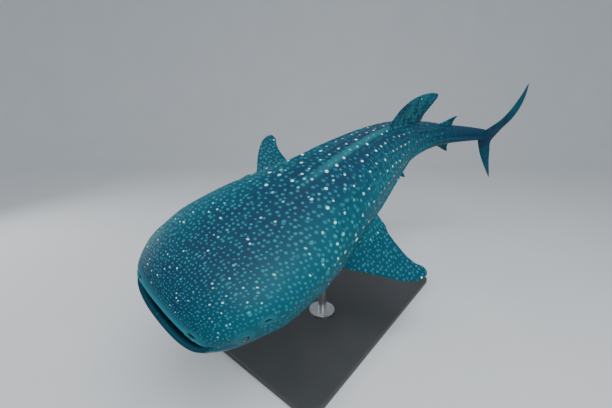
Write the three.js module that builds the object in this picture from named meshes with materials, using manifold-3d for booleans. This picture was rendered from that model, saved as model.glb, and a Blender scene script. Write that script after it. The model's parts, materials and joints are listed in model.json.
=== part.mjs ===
// A whale shark, life size, as a still display model on a plain stand, in millimetres.
// The model's frame: origin at the centre of the base's underside, +Z up, the head towards -Y,
// the animal's left towards +X. The shark dives gently, banks to its left and swings its tail left.
//
// The body is described in its own frame first: s is the distance along the middle line from the
// snout as a share of BODY, a is the distance to the animal's left and h the distance up, in mm.
import * as THREE from "three";
import { mergeVertices } from "three/addons/utils/BufferGeometryUtils.js";
import Module from "manifold-3d";

const wasm = await Module();
wasm.setup();

// Driving sizes of the animal
const BODY = 7000; // middle line, snout to the end of the tail's swing
const GAP = 0.3; // air between neighbouring pieces
// Shares of BODY along the middle line, with the half width, rise of the back and drop of the belly
// there as shares of BODY, and how square the section is, 2 for an ellipse
const STATION = [0.06, 0.1, 0.15, 0.2, 0.25, 0.32, 0.4, 0.5, 0.6, 0.68, 0.76, 0.785, 0.81];
const HALF_WIDTH = [0.0805, 0.0915, 0.0935, 0.087, 0.0815, 0.0735, 0.0645, 0.051, 0.0355, 0.0225, 0.0125, 0.0085, 0.003];
const BACK_RISE = [0.034, 0.043, 0.052, 0.06, 0.065, 0.069, 0.066, 0.055, 0.038, 0.025, 0.0165, 0.013, 0.006];
const BELLY_DROP = [0.042, 0.051, 0.058, 0.063, 0.066, 0.066, 0.06, 0.048, 0.032, 0.02, 0.0135, 0.011, 0.005];
const SQUARENESS = [2.7, 2.6, 2.45, 2.3, 2.2, 2.15, 2.1, 2.05, 2, 2, 2, 2, 2];
// Swimming pose: the middle line's turn to the left, in radians, and its rise towards the tail
const TURN_AT = [0, 0.15, 0.32, 0.46, 0.58, 0.7, 0.8, 1];
const TURN = [0, 0, -0.088, -0.042, 0.266, 0.685, 0.818, 0.818];
const TAIL_RISE = 0.137;
const DIVE = THREE.MathUtils.degToRad(9);
const BANK = THREE.MathUtils.degToRad(21.6);

// Mouth, measured at its rim
const MOUTH_HALF = 390;
const MOUTH_CORNER_S = 0.0265;
const UPPER_LIP_S = 0.0152;
const LOWER_LIP_S = 0.0125;
const CORNER_H = -62;
const UPPER_ARCH = 44;
const JAW_DROP = 96;
const MOUTH_DEPTH = 560;
const MUZZLE_END = 0.06; // the muzzle's round ends here and the plain sections begin
const LIP_ROLL = 16;
// How far the muzzle and the jaw swell up or down, sideways and forward behind their lips
const MUZZLE_LIFT = 122;
const JAW_LIFT = 70;
const MUZZLE_SPREAD = 48;
const JAW_SPREAD = 46;
const MUZZLE_BULGE = 0.0016;

// Ridges along the body: place round the section, height, width, where they rise and fade
const RIDGES = [
  { angle: 90, height: 20, width: 6, from: 0.16, to: 0.5, rise: 0.06 },
  { angle: 54, height: 17, width: 5, from: 0.19, to: 0.7, rise: 0.06 },
  { angle: 30, height: 15, width: 5, from: 0.252, to: 0.68, rise: 0.06 },
  { angle: 4, height: 17, width: 5, from: 0.27, to: 0.8, rise: 0.06 },
];
const KEEL = { angle: 4, height: 58, width: 9, from: 0.64, peak: 0.755, to: 0.805 };

// Gill slits, front to back, above the root of the pectoral fins
const GILLS = [0.185, 0.2, 0.215, 0.23, 0.244];
const GILL_TOP = [35, 49]; // the slit is whole up to the first angle and gone by the second
const GILL_FOOT = [-9, -22];
const GILL_FLAP = 15;
const GILL_SUNK = 15;
const GILL_FIRST_FLAP = 0.013; // length of the flap in front of the first slit
const GILL_OPENING = 0.004; // length of each slit's open part

// Eyes, spiracles and nostrils
const EYE = { s: 0.05, angle: 1, radius: 25, sunk: 14, lid: 7 };
const SPIRACLE = { s: 0.072, angle: 12, length: 26, height: 15, depth: 20 };
const NOSTRIL = { angle: 40, length: 34, height: 15, depth: 18, up: 26 };

// Where the body is parted
const HEAD_END = 0.172;
const JAW_END = 0.118;
const TRUNK_MIDDLE = 0.4;
const TRUNK_END = 0.62;
const STOCK_END = 0.772;

// Stand
const BASE = { length: 2700, width: 1500, height: 60, corner: 120, edge: 12 };
const ROD_RADIUS = 48;
const RODS = [
  { name: "front", on: "trunk_front", s: 0.275 },
  { name: "rear", on: "trunk_rear", s: 0.455 },
];
const FOOT = { radius: 150, height: 24 };
const BALANCE_S = 0.31; // this point of the middle line stands over the base's centre
const SWIM_HEIGHT = 1500;

const COLOURS = {
  skin: 0x2c4a55,
  fin: 0x2a4650,
  jaw: 0x55747a,
  eye: 0x0c1114,
  stand: 0x3a3d40,
  rod: 0x9a9da0,
};

// Small helpers
const clamp01 = (x) => Math.min(1, Math.max(0, x));
const smooth = (x) => clamp01(x) ** 2 * (3 - 2 * clamp01(x));
const rad = THREE.MathUtils.degToRad;
const mix = (a, b, t) => a + (b - a) * t;
const signedPower = (x, p) => Math.sign(x) * Math.abs(x) ** p;

// A smooth curve through a table that doesn't overshoot between its points
function curveOf(xs, ys) {
  const slope = xs.slice(1).map((x, i) => (ys[i + 1] - ys[i]) / (x - xs[i]));
  const tangent = xs.map((x, i) => {
    if (i === 0) return slope[0];
    if (i === xs.length - 1) return slope[i - 1];
    const before = slope[i - 1];
    const after = slope[i];
    return before * after <= 0 ? 0 : (2 * before * after) / (before + after);
  });
  return (x) => {
    if (x <= xs[0]) return ys[0] + tangent[0] * (x - xs[0]);
    if (x >= xs[xs.length - 1]) return ys[xs.length - 1];
    const i = xs.findIndex((v) => v > x) - 1;
    const step = xs[i + 1] - xs[i];
    const t = (x - xs[i]) / step;
    const t2 = t * t;
    const t3 = t2 * t;
    return (
      (2 * t3 - 3 * t2 + 1) * ys[i] +
      (t3 - 2 * t2 + t) * step * tangent[i] +
      (3 * t2 - 2 * t3) * ys[i + 1] +
      (t3 - t2) * step * tangent[i + 1]
    );
  };
}

const halfWidth = curveOf(STATION, HALF_WIDTH);
const backRise = curveOf(STATION, BACK_RISE);
const bellyDrop = curveOf(STATION, BELLY_DROP);
const squareness = curveOf(STATION, SQUARENESS);
const turn = curveOf(TURN_AT, TURN);

// The middle line, walked in short steps, with the directions tailward, left and up along it
const LINE_STEPS = 400;
const middleLine = (() => {
  const line = [];
  const place = new THREE.Vector3();
  const step = BODY / LINE_STEPS;
  for (let i = 0; i <= LINE_STEPS; i++) {
    const s = i / LINE_STEPS;
    const yaw = turn(s);
    const rise = TAIL_RISE * smooth((s - 0.2) / 0.6);
    const back = new THREE.Vector3(
      Math.sin(yaw) * Math.cos(rise),
      Math.cos(yaw) * Math.cos(rise),
      Math.sin(rise),
    );
    const left = new THREE.Vector3(Math.cos(yaw), -Math.sin(yaw), 0);
    const up = new THREE.Vector3().crossVectors(left, back).normalize();
    line.push({ place: place.clone(), back, left, up });
    place.addScaledVector(back, step);
  }
  return line;
})();

// The frame at share s; past either end it goes straight on
function frameAt(s) {
  const at = Math.min(LINE_STEPS - 1e-6, Math.max(0, s * LINE_STEPS));
  const i = Math.floor(at);
  const t = at - i;
  const blend = (key) => middleLine[i][key].clone().lerp(middleLine[i + 1][key], t);
  const frame = {
    place: blend("place"),
    back: blend("back").normalize(),
    left: blend("left").normalize(),
    up: blend("up").normalize(),
  };
  frame.place.addScaledVector(frame.back, (s * LINE_STEPS - at) * (BODY / LINE_STEPS));
  return frame;
}

// A point of the body's frame in space
function pointAt(s, a, h) {
  const frame = frameAt(s);
  return frame.place.addScaledVector(frame.left, a).addScaledVector(frame.up, h);
}

// How far the surface stands out over the plain section at share s and angle, in degrees
function relief(s, angle) {
  const side = Math.abs(angle) > 90 ? 180 - Math.abs(angle) : Math.abs(angle);
  const up = angle >= 0 ? side : -side;
  let out = 0;
  for (const ridge of RIDGES) {
    const along = smooth((s - ridge.from) / ridge.rise) * smooth((ridge.to - s) / ridge.rise);
    out += ridge.height * along * Math.max(0, 1 - Math.abs(up - ridge.angle) / ridge.width);
  }
  const keel = Math.min(
    smooth((s - KEEL.from) / (KEEL.peak - KEEL.from)),
    smooth((KEEL.to - s) / (KEEL.to - KEEL.peak)),
  );
  out += KEEL.height * keel * Math.max(0, 1 - Math.abs(up - KEEL.angle) / KEEL.width);
  const high = Math.min(
    clamp01((GILL_TOP[1] - up) / (GILL_TOP[1] - GILL_TOP[0])),
    clamp01((up - GILL_FOOT[1]) / (GILL_FOOT[0] - GILL_FOOT[1])),
  );
  GILLS.forEach((slit, i) => {
    const behind = s - slit;
    const flap = i === 0 ? GILL_FIRST_FLAP : slit - GILLS[i - 1] - GILL_OPENING;
    if (behind <= 0 && behind > -flap) out += GILL_FLAP * high * (1 + behind / flap);
    if (behind > 0 && behind < GILL_OPENING) out -= GILL_SUNK * high * (1 - behind / GILL_OPENING);
  });
  return out;
}

// A point of the plain section, as [a, h], grown outwards by extra
function section(s, angle, extra = 0) {
  const c = Math.cos(rad(angle));
  const v = Math.sin(rad(angle));
  const width = halfWidth(s) * BODY;
  const high = (v > 0 ? backRise(s) : bellyDrop(s)) * BODY;
  const power = 2 / squareness(s);
  const normal = new THREE.Vector2(c / width, v / high).normalize();
  const out = relief(s, angle) + extra;
  return [
    width * signedPower(c, power) + normal.x * out,
    high * signedPower(v, power) + normal.y * out,
  ];
}

// The mouth's rim at an angle: the upper lip for 0 to 180 degrees, the lower lip below
function rim(angle) {
  const c = Math.cos(rad(angle));
  const v = Math.sin(rad(angle));
  const bow = (1 - Math.abs(c) ** 2.4) ** (1 / 2.4);
  const front = v >= 0 ? UPPER_LIP_S : LOWER_LIP_S;
  const fall = v >= 0 ? UPPER_ARCH * bow : -JAW_DROP * bow;
  return { s: mix(MOUTH_CORNER_S, front, bow), a: MOUTH_HALF * c, h: CORNER_H + fall };
}

// The muzzle: a rounded sweep from the rim out to the first plain section
function muzzle(t, angle, extra = 0) {
  const edge = rim(angle);
  const c = Math.cos(rad(angle));
  const v = Math.sin(rad(angle));
  const lift = v >= 0 ? MUZZLE_LIFT : JAW_LIFT;
  const spread = v >= 0 ? MUZZLE_SPREAD : JAW_SPREAD;
  const [endA, endH] = section(MUZZLE_END, angle);
  const [nextA, nextH] = section(MUZZLE_END + 0.005, angle);
  const reach = 3.2;
  const stops = [
    [edge.a, edge.h, edge.s],
    [edge.a + spread * c, edge.h + lift * v, edge.s - MUZZLE_BULGE * Math.abs(v)],
    [endA - (nextA - endA) * reach, endH - (nextH - endH) * reach, MUZZLE_END - 0.005 * reach],
    [endA, endH, MUZZLE_END],
  ];
  const q = 1 - t;
  const weights = [q * q * q, 3 * q * q * t, 3 * q * t * t, t * t * t];
  const [a, h, s] = [0, 1, 2].map((k) => stops.reduce((sum, stop, i) => sum + stop[k] * weights[i], 0));
  return { s, a: a + c * extra, h: h + v * extra };
}

// The mouth's lining: round the lip and back to the throat
function lining(depth, angle) {
  const edge = rim(angle);
  const c = Math.cos(rad(angle));
  const v = Math.sin(rad(angle));
  const shrink = 1 - 0.5 * smooth(depth);
  const middle = CORNER_H - JAW_DROP * 0.38;
  const lip = LIP_ROLL * (1 - Math.abs(1 - 4 * Math.min(depth, 0.5)));
  return {
    s: mix(edge.s, edge.s + MOUTH_DEPTH / BODY, depth),
    a: edge.a * shrink - lip * 0.6 * c,
    h: middle + (edge.h - middle) * shrink + lip * 0.4 * v,
  };
}

// Angles of a ring's points, closer together at the ridges
const SIDE_ANGLES = [84, 74, 64, 59, 54, 49, 42, 35, 30, 25, 17, 9, 4, -1, -9, -22, -37, -52, -67, -80];
const RING_ANGLES = [90, ...SIDE_ANGLES.map((x) => 180 - x), -90, ...[...SIDE_ANGLES].reverse()];

// Turns rings of points into one closed solid, with a fan at each end
function solidOfRings(rings) {
  const around = rings[0].length;
  const points = rings.flat();
  const first = new THREE.Vector3();
  const last = new THREE.Vector3();
  rings[0].forEach((p) => first.addScaledVector(p, 1 / around));
  rings[rings.length - 1].forEach((p) => last.addScaledVector(p, 1 / around));
  const faces = [];
  for (let i = 0; i + 1 < rings.length; i++) {
    for (let j = 0; j < around; j++) {
      const k = (j + 1) % around;
      const [p, q, r, t] = [i * around + j, i * around + k, (i + 1) * around + j, (i + 1) * around + k];
      if (j < around / 2) faces.push(p, q, r, q, t, r);
      else faces.push(p, q, t, p, t, r);
    }
  }
  const near = points.length;
  const far = near + 1;
  const offset = (rings.length - 1) * around;
  for (let j = 0; j < around; j++) {
    const k = (j + 1) % around;
    faces.push(near, k, j, far, offset + j, offset + k);
  }
  return solidOf([...points, first, last], faces);
}

// A manifold solid from points and faces, turned the right way out
function solidOf(points, faces) {
  const geometry = new THREE.BufferGeometry();
  const flat = new Float32Array(points.flatMap((p) => [p.x, p.y, p.z]));
  geometry.setAttribute("position", new THREE.BufferAttribute(flat, 3));
  geometry.setIndex(faces);
  const merged = mergeVertices(geometry, 1e-3);
  const index = merged.index.array;
  const kept = [];
  for (let i = 0; i < index.length; i += 3) {
    const [p, q, r] = [index[i], index[i + 1], index[i + 2]];
    if (p !== q && q !== r && r !== p) kept.push(p, q, r);
  }
  const make = (tris) =>
    new wasm.Manifold(
      new wasm.Mesh({
        numProp: 3,
        vertProperties: merged.attributes.position.array,
        triVerts: new Uint32Array(tris),
      }),
    );
  const solid = make(kept);
  return solid.volume() > 0 ? solid : make(kept.reverse());
}

// A manifold solid from a closed three.js shape, moved by a matrix
function solidOfShape(shape, matrix = new THREE.Matrix4()) {
  const plain = new THREE.BufferGeometry();
  plain.setAttribute("position", shape.getAttribute("position").clone());
  if (shape.index) plain.setIndex(shape.index);
  plain.applyMatrix4(matrix);
  const merged = mergeVertices(plain, 1e-3);
  const position = merged.getAttribute("position");
  const points = [];
  for (let i = 0; i < position.count; i++) points.push(new THREE.Vector3().fromBufferAttribute(position, i));
  return solidOf(points, [...merged.index.array]);
}

// The largest closed body of a solid
function largest(solid) {
  return solid.decompose().reduce((a, b) => (a.volume() > b.volume() ? a : b));
}

// Body lengths
const ringAt = (s, extra = 0) =>
  RING_ANGLES.map((angle) => {
    const [a, h] = section(s, angle, extra);
    return pointAt(s, a, h);
  });

const LENGTH_STEP = 0.0215;

// Shares along a length of the body, with close rings at each gill slit
function sharesBetween(from, to) {
  const count = Math.max(1, Math.round((to - from) / LENGTH_STEP));
  const shares = [];
  for (let i = 0; i <= count; i++) shares.push(mix(from, to, i / count));
  const slits = GILLS.filter((s) => s > from && s < to);
  const clear = shares.filter((x, i) => i === 0 || i === count || slits.every((s) => x < s - 0.003 || x > s + 0.006));
  return [...clear, ...slits.flatMap((s) => [s - 0.0002, s + 0.0004, s + 0.0045])].sort((x, y) => x - y);
}

function bodyLength([from, to], extra = 0) {
  return solidOfRings(sharesBetween(from, to).map((s) => ringAt(s, extra)));
}

// The plain lengths of the body behind the head, half a gap short of each other
const HALF_GAP = GAP / 2 / BODY;
const LENGTHS = {
  trunk_front: [HEAD_END, TRUNK_MIDDLE - HALF_GAP],
  trunk_rear: [TRUNK_MIDDLE + HALF_GAP, TRUNK_END - HALF_GAP],
  tail_stock: [TRUNK_END + HALF_GAP, STOCK_END],
};

const MUZZLE_STEPS = [0.05, 0.13, 0.24, 0.38, 0.55, 0.76];
const LINING_STEPS = [1, 0.8, 0.55, 0.3, 0.12, 0.05];

function wholeHead(extra = 0) {
  const place = ({ s, a, h }) => pointAt(s, a, h);
  const inside = LINING_STEPS.map((d) => RING_ANGLES.map((angle) => place(lining(d, angle))));
  const lip = [RING_ANGLES.map((angle) => place(rim(angle)))];
  const outside = MUZZLE_STEPS.map((t) => RING_ANGLES.map((angle) => place(muzzle(t, angle, extra))));
  const rest = sharesBetween(MUZZLE_END, HEAD_END - GAP / BODY).map((s) => ringAt(s, extra));
  return solidOfRings([...inside, ...lip, ...outside, ...rest]);
}

// A box across the animal in front of share "to" and under height "top", for parting the jaw
function jawRegion(grow) {
  const depth = JAW_END * BODY + grow + 400;
  const box = new THREE.BoxGeometry(2400, depth, 900);
  const move = new THREE.Matrix4().makeTranslation(0, depth / 2 - 400, CORNER_H - 450 + grow);
  return solidOfShape(box, move);
}

// A flattened ball standing on the surface at a share and angle, for pits, lids and eyes
function ballAt(point, lengths, detail = 10) {
  const ball = new THREE.SphereGeometry(1, detail, Math.max(4, detail - 4));
  const frame = frameAt(point.s);
  const basis = new THREE.Matrix4().makeBasis(frame.back, frame.left, frame.up);
  basis.scale(new THREE.Vector3(...lengths));
  basis.setPosition(pointAt(point.s, point.a, point.h));
  return solidOfShape(ball, basis);
}

function surfacePoint(s, angle, out = 0) {
  const [a, h] = section(s, angle, out);
  return { s, a, h };
}

// A ring of flesh round the eye, standing a little proud
function lidAt(side) {
  const angle = side > 0 ? EYE.angle : 180 - EYE.angle;
  const place = surfacePoint(EYE.s, angle, -EYE.lid / 2);
  const lid = new THREE.TorusGeometry(EYE.radius + EYE.lid / 2, EYE.lid, 6, 16);
  const frame = frameAt(EYE.s);
  const out = frame.left.clone().multiplyScalar(side);
  const basis = new THREE.Matrix4().makeBasis(frame.back.clone().multiplyScalar(side), frame.up, out);
  basis.setPosition(pointAt(place.s, place.a, place.h));
  return solidOfShape(lid, basis);
}

function eyePlace(side) {
  return surfacePoint(EYE.s, side > 0 ? EYE.angle : 180 - EYE.angle, -EYE.sunk);
}

function buildHead() {
  let head = wholeHead();
  for (const side of [1, -1]) {
    head = head.add(lidAt(side));
    const socket = EYE.radius + GAP;
    head = head.subtract(ballAt(eyePlace(side), [socket, socket, socket], 16));
    const behind = side > 0 ? SPIRACLE.angle : 180 - SPIRACLE.angle;
    const hole = surfacePoint(SPIRACLE.s, behind);
    head = head.subtract(ballAt(hole, [SPIRACLE.length, SPIRACLE.depth, SPIRACLE.height], 8));
    const across = side > 0 ? NOSTRIL.angle : 180 - NOSTRIL.angle;
    const edge = rim(across);
    const nostril = { s: edge.s, a: edge.a, h: edge.h + NOSTRIL.up };
    head = head.subtract(ballAt(nostril, [NOSTRIL.depth, NOSTRIL.length, NOSTRIL.height], 8));
  }
  const jaw = largest(head.intersect(jawRegion(0)));
  const skull = largest(head.subtract(jawRegion(GAP)));
  return { jaw, skull };
}

// Fins: blades with a rounded front, a thin back edge and a fan of sections from root to tip
const BLADE_CHORD = [0, 0.04, 0.14, 0.32, 0.55, 0.78, 1];
const BLADE_THICK = [0, 0.42, 0.8, 1, 0.82, 0.45, 0.12];

// place(out, back, across) puts a point of the fin in space; plan(t) gives the section at share t
// of the span as { out, front, rear, thick, bend, twist }, in mm, where bend moves it across and
// twist moves its rear edge across
function blade(place, plan, steps) {
  const rings = [];
  for (let i = 0; i <= steps; i++) {
    const t = i / steps;
    const cut = plan(1 - (1 - t) ** 1.35);
    const point = (share, side) => {
      const j = BLADE_CHORD.indexOf(share);
      const across = side * BLADE_THICK[j] * (cut.thick / 2) + cut.bend + cut.twist * share;
      return place(cut.out, mix(cut.front, cut.rear, share), across);
    };
    const top = BLADE_CHORD.map((share) => point(share, 1));
    const under = BLADE_CHORD.slice(1).reverse().map((share) => point(share, -1));
    rings.push([...top, ...under]);
  }
  return solidOfRings(rings);
}

// A fin's plan from tables of span share against front and rear edge, in shares of its span. The
// root lies sunk inside the body. Lean and bend move the fin across, by the share of its span and
// by that share squared, and twist swings the rear edge at the tip.
function outline({ span, share, front, rear, thick, tip = 12, lean = 0, bend = 0, twist = 0, sunk = 0 }) {
  const frontAt = curveOf(share, front);
  const rearAt = curveOf(share, rear);
  return (t) => {
    const out = mix(-sunk, span, t);
    const at = Math.max(share[0], out / span);
    const free = Math.max(0, at);
    return {
      out,
      front: frontAt(at) * span,
      rear: rearAt(at) * span,
      thick: mix(thick, tip, free ** 0.8),
      bend: lean * free + bend * free * free,
      twist: twist * free,
    };
  };
}

const PECTORAL = {
  share: [-0.3, 0, 0.1, 0.25, 0.5, 0.73, 0.9, 0.975, 1],
  front: [0.08, 0.12, 0.19, 0.33, 0.56, 0.77, 0.97, 1.1, 1.2],
  rear: [1.26, 1.25, 1.22, 1.21, 1.21, 1.25, 1.34, 1.33, 1.27],
};
const DORSAL = {
  share: [0, 0.1, 0.25, 0.5, 0.75, 0.92, 1],
  front: [-0.22, -0.09, 0.1, 0.41, 0.94, 1.48, 1.9],
  rear: [1.5, 1.94, 1.96, 2.1, 2.26, 2.33, 2.26],
};
const SMALL_FIN = {
  share: [0, 0.12, 0.35, 0.65, 0.88, 1],
  front: [0, 0.26, 0.66, 1.14, 1.52, 1.76],
  rear: [1.3, 1.72, 1.68, 1.74, 1.86, 1.9],
};
const PECTORAL_SHAPE = { plan: PECTORAL, span: 640, thick: 92, sunk: 200, bend: 40, pitch: 10 };
const PELVIC_SHAPE = { plan: SMALL_FIN, span: 215, thick: 40, sunk: 60, droop: 60 };
const FINS = {
  pectoral_fin_left: { ...PECTORAL_SHAPE, on: "trunk_front", s: 0.2, angle: -24, droop: 27 },
  pectoral_fin_right: { ...PECTORAL_SHAPE, on: "trunk_front", s: 0.2, angle: 204, droop: -18 },
  dorsal_fin_first: { plan: DORSAL, on: "trunk_rear", s: 0.475, angle: 90, span: 455, thick: 74, sunk: 100 },
  dorsal_fin_second: { plan: SMALL_FIN, on: "tail_stock", s: 0.657, angle: 90, span: 160, thick: 32, sunk: 45 },
  pelvic_fin_left: { ...PELVIC_SHAPE, on: "trunk_rear", s: 0.505, angle: -62 },
  pelvic_fin_right: { ...PELVIC_SHAPE, on: "trunk_rear", s: 0.505, angle: 242 },
  anal_fin: { plan: SMALL_FIN, on: "tail_stock", s: 0.664, angle: -90, span: 170, thick: 30, sunk: 40 },
};

// A fin in the middle plane follows the body's bend and stands on its back or belly
function medianPlace(fin) {
  const side = Math.sign(fin.angle);
  return (out, back, across) => {
    const s = fin.s + back / BODY;
    const edge = (side > 0 ? backRise(s) : bellyDrop(s)) * BODY;
    return pointAt(s, across, side * (edge + out));
  };
}

// A paired fin is flat, turned down by its droop, with its rear edge raised by its pitch
function pairedPlace(fin) {
  const { s, a, h } = surfacePoint(fin.s, fin.angle);
  const origin = pointAt(s, a, h);
  const frame = frameAt(s);
  const side = Math.sign(a);
  const droop = rad(fin.droop);
  const pitch = rad(fin.pitch ?? 0);
  const outward = frame.left
    .clone()
    .multiplyScalar(side * Math.cos(droop))
    .addScaledVector(frame.up, -Math.sin(droop));
  const face = new THREE.Vector3().crossVectors(outward, frame.back).multiplyScalar(side).normalize();
  const back = frame.back.clone().multiplyScalar(Math.cos(pitch)).addScaledVector(face, Math.sin(pitch));
  face.multiplyScalar(Math.cos(pitch)).addScaledVector(frame.back, -Math.sin(pitch));
  return (out, along, across) =>
    origin.clone().addScaledVector(outward, out).addScaledVector(back, along).addScaledVector(face, across);
}

function buildFin(fin) {
  const place = fin.droop === undefined ? medianPlace(fin) : pairedPlace(fin);
  const solid = blade(place, outline({ ...fin, ...fin.plan }), 12);
  return largest(solid.subtract(bodyLength(LENGTHS[fin.on], GAP)));
}

// Tail fin: two swept lobes on one root, the upper one taller, leaning left and curled to the right
const UPPER_LOBE = {
  share: [0, 0.15, 0.4, 0.65, 0.85, 0.96, 1],
  front: [-0.02, 0.07, 0.26, 0.42, 0.57, 0.66, 0.7],
  rear: [0.37, 0.38, 0.49, 0.61, 0.7, 0.745, 0.755],
  span: 785,
  lean: 450,
  bend: -610,
  twist: -60,
};
const LOWER_LOBE = {
  share: [0, 0.15, 0.4, 0.65, 0.85, 0.96, 1],
  front: [-0.02, 0.05, 0.18, 0.34, 0.48, 0.56, 0.6],
  rear: [0.4, 0.37, 0.45, 0.53, 0.6, 0.635, 0.645],
  span: 725,
  bend: 150,
  twist: -60,
};
const TAIL_ROOT_S = 0.772;
const TAIL_THICK = 58;
const TAIL_ROOT_END = 0.808;

function lobe(shape, direction) {
  const frame = frameAt(TAIL_ROOT_S);
  const place = (out, back, across) =>
    frame.place
      .clone()
      .addScaledVector(frame.up, direction * out)
      .addScaledVector(frame.back, back)
      .addScaledVector(frame.left, across);
  return blade(place, outline({ ...shape, thick: TAIL_THICK }), 12);
}

function buildTailFin() {
  const root = bodyLength([STOCK_END + GAP / BODY, TAIL_ROOT_END]);
  const lobes = lobe(UPPER_LOBE, 1).add(lobe(LOWER_LOBE, -1));
  const frame = frameAt(STOCK_END);
  const stock = new THREE.BoxGeometry(2000, 1000, 2000);
  const basis = new THREE.Matrix4().makeBasis(frame.left, frame.back, frame.up);
  const centre = frame.place.clone().addScaledVector(frame.back, GAP - 500);
  basis.setPosition(centre);
  return largest(lobes.subtract(solidOfShape(stock, basis)).add(root));
}

// The groups: the animal's own frame, turned to its dive and bank, over the stand
const model = new THREE.Group();
const animal = new THREE.Group();
animal.rotation.set(DIVE, BANK, 0, "XYZ");
const balance = pointAt(BALANCE_S, 0, 0).applyEuler(animal.rotation);
animal.position.set(-balance.x, -balance.y, SWIM_HEIGHT - balance.z);
animal.updateMatrix();
model.add(animal);

function addPiece(group, name, solid, colour, roughness = 0.6, metalness = 0) {
  const data = solid.getMesh();
  const geometry = new THREE.BufferGeometry();
  geometry.setAttribute("position", new THREE.BufferAttribute(data.vertProperties.slice(), 3));
  geometry.setIndex(new THREE.BufferAttribute(data.triVerts.slice(), 1));
  geometry.computeVertexNormals();
  const material = new THREE.MeshStandardMaterial({ color: colour, roughness, metalness });
  const mesh = new THREE.Mesh(geometry, material);
  mesh.name = name;
  group.add(mesh);
}

const { jaw, skull } = buildHead();
addPiece(animal, "head", skull, COLOURS.skin);
addPiece(animal, "lower_jaw", jaw, COLOURS.jaw);
for (const [name, ends] of Object.entries(LENGTHS)) {
  addPiece(animal, name, bodyLength(ends), COLOURS.skin);
}
addPiece(animal, "tail_fin", buildTailFin(), COLOURS.fin);
for (const [name, fin] of Object.entries(FINS)) addPiece(animal, name, buildFin(fin), COLOURS.fin);
for (const [name, side] of [["eye_left", 1], ["eye_right", -1]]) {
  addPiece(animal, name, ballAt(eyePlace(side), [EYE.radius, EYE.radius, EYE.radius], 16), COLOURS.eye, 0.1);
}

// Stand: a flat base with round corners, and two rods that end against the belly
function roundedPlate({ length, width, height, corner, edge }) {
  const [x, y] = [width / 2 - edge, length / 2 - edge];
  const r = corner - edge;
  const plate = new THREE.Shape();
  plate.moveTo(-x + r, -y);
  plate.lineTo(x - r, -y);
  plate.absarc(x - r, -y + r, r, -Math.PI / 2, 0, false);
  plate.lineTo(x, y - r);
  plate.absarc(x - r, y - r, r, 0, Math.PI / 2, false);
  plate.lineTo(-x + r, y);
  plate.absarc(-x + r, y - r, r, Math.PI / 2, Math.PI, false);
  plate.lineTo(-x, -y + r);
  plate.absarc(-x + r, -y + r, r, Math.PI, Math.PI * 1.5, false);
  const solid = new THREE.ExtrudeGeometry(plate, {
    depth: height - 2 * edge,
    bevelThickness: edge,
    bevelSize: edge,
    bevelSegments: 2,
    curveSegments: 6,
  });
  return solidOfShape(solid, new THREE.Matrix4().makeTranslation(0, 0, edge));
}

function upright(radius, height, x, y, z, sides = 28) {
  const tube = new THREE.CylinderGeometry(radius, radius, height, sides);
  tube.rotateX(Math.PI / 2);
  return solidOfShape(tube, new THREE.Matrix4().makeTranslation(x, y, z + height / 2));
}

addPiece(model, "stand_base", roundedPlate(BASE), COLOURS.stand, 0.5);
const toWorld = (solid) => solid.transform(animal.matrix.elements);
for (const { name, on, s } of RODS) {
  const over = pointAt(s, 0, 0).applyMatrix4(animal.matrix);
  const foot = upright(FOOT.radius, FOOT.height, over.x, over.y, BASE.height + GAP);
  const rodFoot = BASE.height + GAP + FOOT.height + GAP;
  const rod = upright(ROD_RADIUS, over.z - rodFoot, over.x, over.y, rodFoot);
  const belly = toWorld(bodyLength(LENGTHS[on], GAP));
  addPiece(model, `stand_foot_${name}`, foot, COLOURS.rod, 0.35, 0.9);
  addPiece(model, `stand_rod_${name}`, largest(rod.subtract(belly)), COLOURS.rod, 0.35, 0.9);
}

export default model;
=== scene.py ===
"""A life-size whale shark on a display stand: skin, eyes, stand, floor, light and camera."""
import json
import math

import bmesh
import bpy
import numpy as np
from bpy.props import FloatProperty, FloatVectorProperty, IntProperty, PointerProperty
from mathutils import Matrix, Vector

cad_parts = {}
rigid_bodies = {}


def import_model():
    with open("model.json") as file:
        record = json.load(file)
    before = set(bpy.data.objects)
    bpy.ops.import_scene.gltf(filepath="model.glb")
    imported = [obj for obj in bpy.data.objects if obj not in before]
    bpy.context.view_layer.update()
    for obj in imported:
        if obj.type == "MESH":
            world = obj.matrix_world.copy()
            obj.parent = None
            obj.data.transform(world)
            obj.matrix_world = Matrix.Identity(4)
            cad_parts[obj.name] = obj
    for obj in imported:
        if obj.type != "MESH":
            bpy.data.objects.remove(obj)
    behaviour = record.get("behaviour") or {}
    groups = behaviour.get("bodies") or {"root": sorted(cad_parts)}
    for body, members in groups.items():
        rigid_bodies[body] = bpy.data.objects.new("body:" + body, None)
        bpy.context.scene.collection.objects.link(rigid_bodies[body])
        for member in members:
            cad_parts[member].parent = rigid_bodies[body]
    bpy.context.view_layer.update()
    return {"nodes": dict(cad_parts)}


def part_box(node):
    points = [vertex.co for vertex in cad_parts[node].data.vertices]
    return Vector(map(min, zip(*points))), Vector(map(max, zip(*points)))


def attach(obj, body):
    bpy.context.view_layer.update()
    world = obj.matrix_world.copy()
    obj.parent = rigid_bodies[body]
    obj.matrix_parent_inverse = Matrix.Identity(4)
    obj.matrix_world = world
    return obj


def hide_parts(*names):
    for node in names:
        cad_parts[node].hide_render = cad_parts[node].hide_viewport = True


bl_info = {
    "name": "Whale Shark Display Model",
    "version": (1, 0, 0),
    "blender": (4, 5, 0),
    "location": "View3D > Sidebar > Shark",
    "description": "Makes a life-size whale shark on a display stand",
    "category": "Object",
}

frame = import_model()
FLESH = [
    "head", "lower_jaw", "trunk_front", "trunk_rear", "tail_stock", "tail_fin",
    "pectoral_fin_left", "pectoral_fin_right", "dorsal_fin_first", "dorsal_fin_second",
    "pelvic_fin_left", "pelvic_fin_right", "anal_fin",
]

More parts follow.
